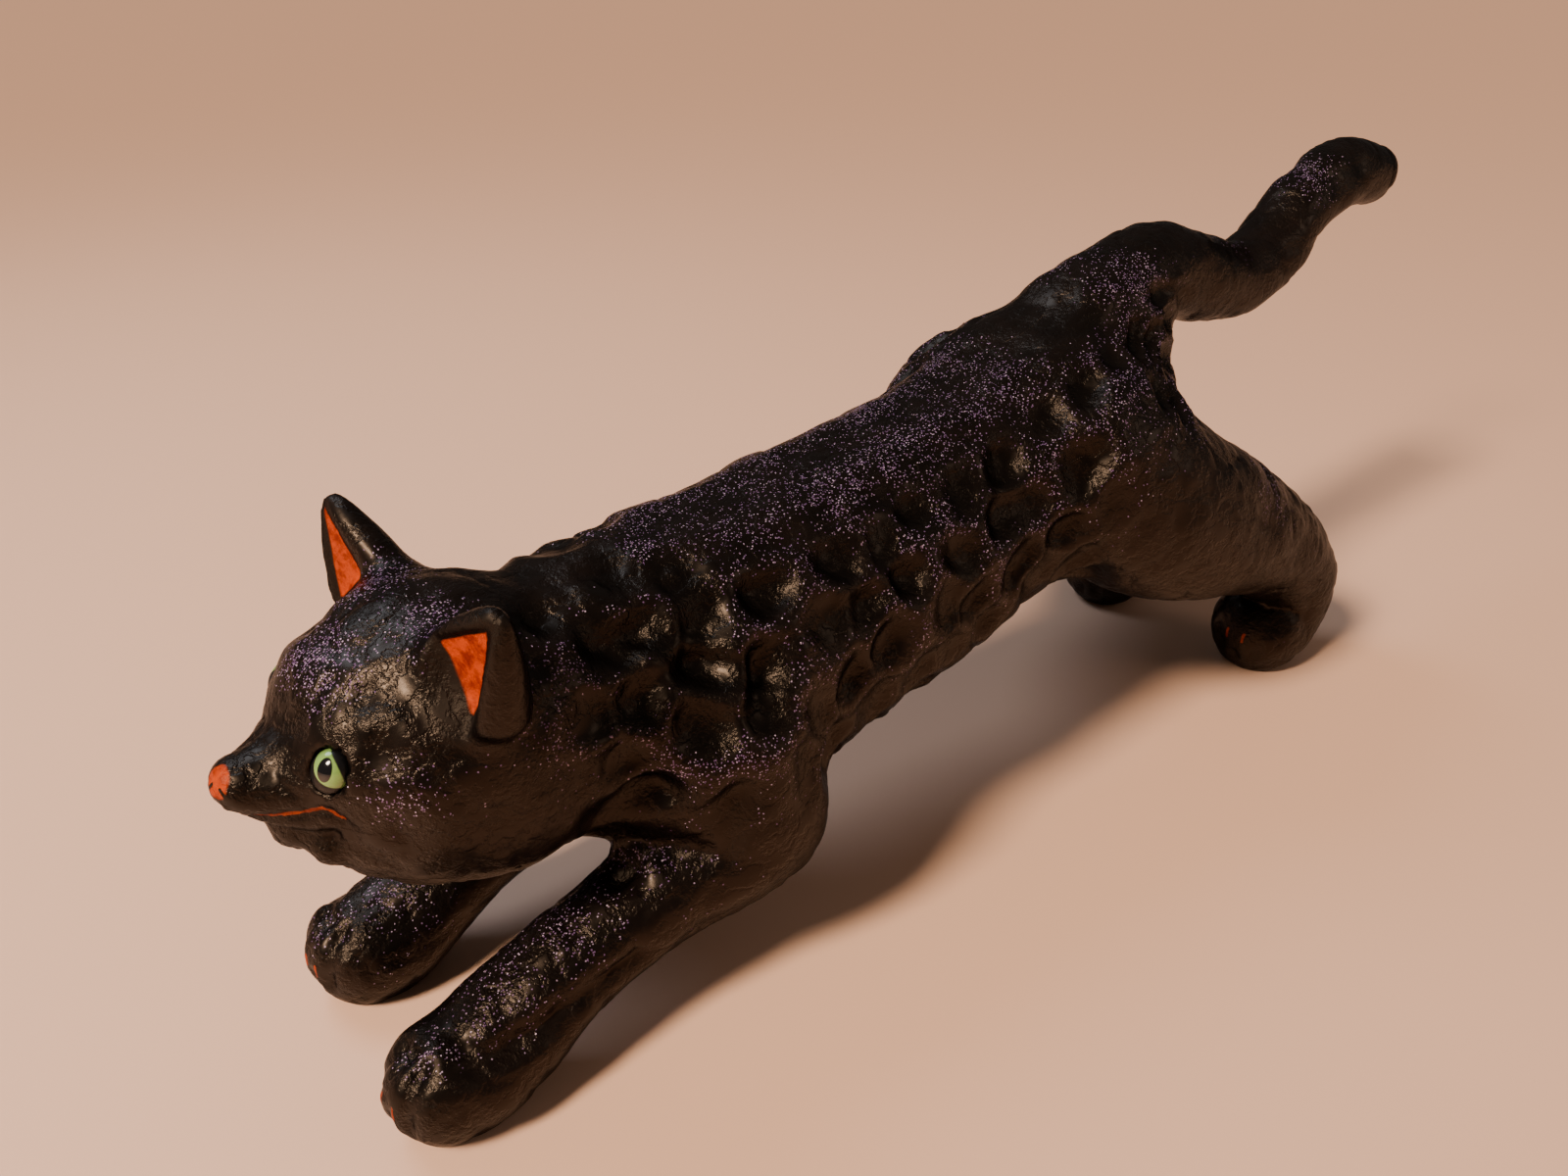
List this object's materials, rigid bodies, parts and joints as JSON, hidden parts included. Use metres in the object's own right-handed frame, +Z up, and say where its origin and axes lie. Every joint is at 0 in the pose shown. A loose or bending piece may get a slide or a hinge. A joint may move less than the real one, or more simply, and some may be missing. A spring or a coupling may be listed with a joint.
{
  "type": "papier-mache cat ornament",
  "caption": "Painted papier-mache cat stretched out to pounce, head low, rump high and tail raised in an S, standing on its paws.",
  "frame": {"origin": "on the surface that the paws stand on, under the middle of the cat's box", "axes": "+X from the nose to the tail, -Y to the cat's left, +Z up"},
  "size_m": [0.4976, 0.1308, 0.1964],
  "materials": {
    "painted_paper": "satin black paint over papier-mache, dusted with fine violet glitter on the raised parts",
    "eye_glass": "glossy green dome with a black upright pupil"
  },
  "bodies": {
    "root": {"body": "painted_paper", "eye_left": "eye_glass", "eye_right": "eye_glass"}
  },
  "joints": []
}
